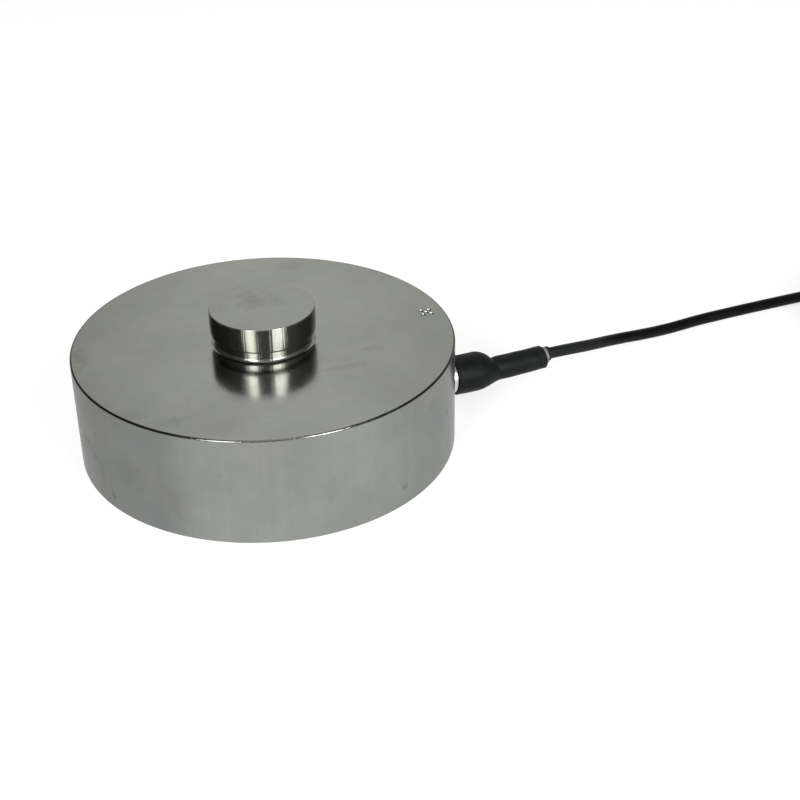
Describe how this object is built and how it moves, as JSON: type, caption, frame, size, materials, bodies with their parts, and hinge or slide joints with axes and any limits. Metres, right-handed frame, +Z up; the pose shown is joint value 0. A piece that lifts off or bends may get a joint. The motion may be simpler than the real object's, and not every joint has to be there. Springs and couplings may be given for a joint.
{
  "type": "compression force sensor",
  "caption": "Low round steel force sensor with a raised load button, strain gauges under its thick web, a closed base and a fixed side cable with bare leads.",
  "frame": {"origin": "centre of the base plane, on the axis of the round body", "axes": "+Z up through the load button, +X along the cable outlet"},
  "size_m": [0.2581, 0.09, 0.0353],
  "materials": {
    "ground_steel": "finely ground and faintly stained stainless steel",
    "cover_steel": "rolled stainless sheet",
    "nipple_steel": "bright turned stainless steel",
    "brass": "turned",
    "tin": "tinned copper strands",
    "sleeve_polyolefin": "satin shrink sleeve",
    "inner_sleeve_polyolefin": "satin shrink sleeve",
    "hot_melt_glue": "grey hot-melt glue",
    "cable_jacket": "satin black PVC",
    "strap_textile": "woven strap",
    "seal_rubber": "matt",
    "board_laminate": "glass-fibre board with solder mask",
    "resistor_ceramic": "glazed ceramic",
    "gauge_foil": "foil grid on polyimide film",
    "gauge_wire_enamel": "enamelled copper",
    "core_red": "PVC insulation",
    "core_black": "PVC insulation",
    "core_green": "PVC insulation",
    "core_white": "PVC insulation"
  },
  "bodies": {
    "root": {"sensor_body": "ground_steel", "bottom_cover": "cover_steel", "cable_nipple": "nipple_steel", "seal_bush": "seal_rubber", "crimp_ferrule": "brass", "outer_sleeve": "sleeve_polyolefin", "inner_sleeve": "inner_sleeve_polyolefin", "glue_ring": "hot_melt_glue", "cable": "cable_jacket", "cable_coil": "cable_jacket", "cable_end": "cable_jacket", "coil_tie": "strap_textile", "end_sleeve": "sleeve_polyolefin", "lead_red": "core_red", "lead_black": "core_black", "lead_green": "core_green", "lead_white": "core_white", "tip_red": "tin", "tip_black": "tin", "tip_green": "tin", "tip_white": "tin", "terminal_board": "board_laminate", "balance_resistor_1": "resistor_ceramic", "balance_resistor_2": "resistor_ceramic", "balance_resistor_3": "resistor_ceramic", "strain_gauge_1": "gauge_foil", "strain_gauge_2": "gauge_foil", "strain_gauge_3": "gauge_foil", "strain_gauge_4": "gauge_foil", "gauge_wire_1": "gauge_wire_enamel", "gauge_wire_2": "gauge_wire_enamel", "gauge_wire_3": "gauge_wire_enamel", "gauge_wire_4": "gauge_wire_enamel", "core_red": "core_red", "core_black": "core_black", "core_green": "core_green", "core_white": "core_white"}
  },
  "joints": []
}
